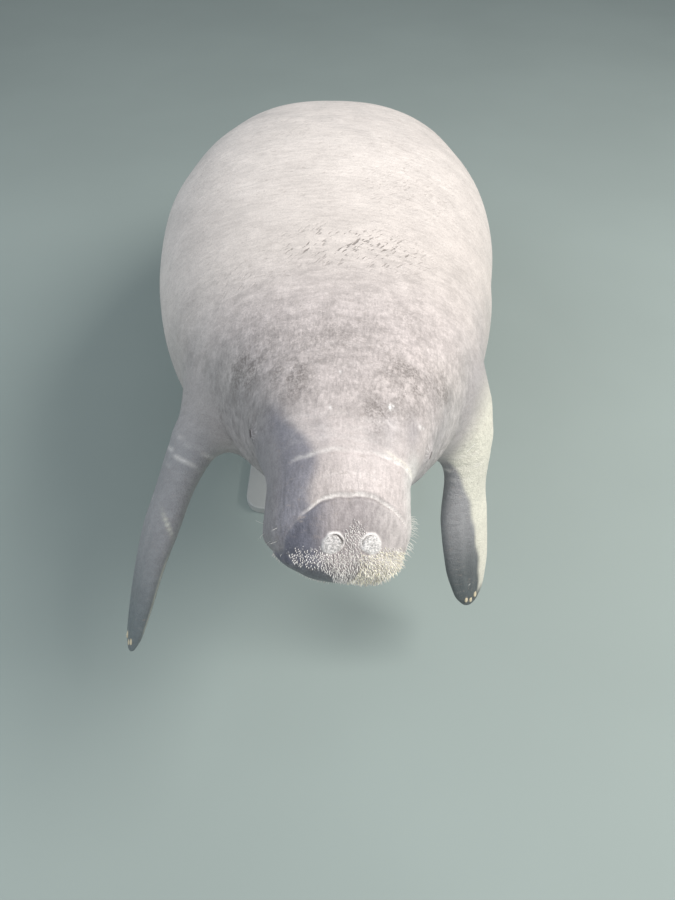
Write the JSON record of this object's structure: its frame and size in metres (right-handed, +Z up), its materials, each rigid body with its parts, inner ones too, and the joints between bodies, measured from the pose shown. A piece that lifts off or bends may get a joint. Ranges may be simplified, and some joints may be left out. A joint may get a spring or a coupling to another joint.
{
  "type": "manatee",
  "caption": "Life-size museum model of a manatee at the surface, head raised and tail hanging, held over a flat base by short rods.",
  "frame": {"origin": "centre of the underside of the stand's base, on the floor", "axes": "+Z up, -Y towards the snout, +X towards the animal's left"},
  "size_m": [0.8737, 2.822, 0.9395],
  "materials": {
    "skin": "matte wrinkled hide, pale pinkish grey on the back and darker on the muzzle and flippers",
    "eye": "wet dark brown",
    "nail": "pale yellowish horn",
    "stand": "satin light grey paint"
  },
  "bodies": {
    "root": {"muzzle": "skin", "lower_jaw": "skin", "head": "skin", "eye_left": "eye", "eye_right": "eye", "neck": "skin", "chest": "skin", "belly": "skin", "loin": "skin", "tail_stock": "skin", "tail_paddle": "skin", "flipper_left_arm": "skin", "flipper_left_hand": "skin", "flipper_left_nail_1": "nail", "flipper_left_nail_2": "nail", "flipper_left_nail_3": "nail", "flipper_right_arm": "skin", "flipper_right_hand": "skin", "flipper_right_nail_1": "nail", "flipper_right_nail_2": "nail", "flipper_right_nail_3": "nail", "stand_base": "stand", "stand_rod_front": "stand", "stand_rod_rear": "stand"}
  },
  "joints": []
}
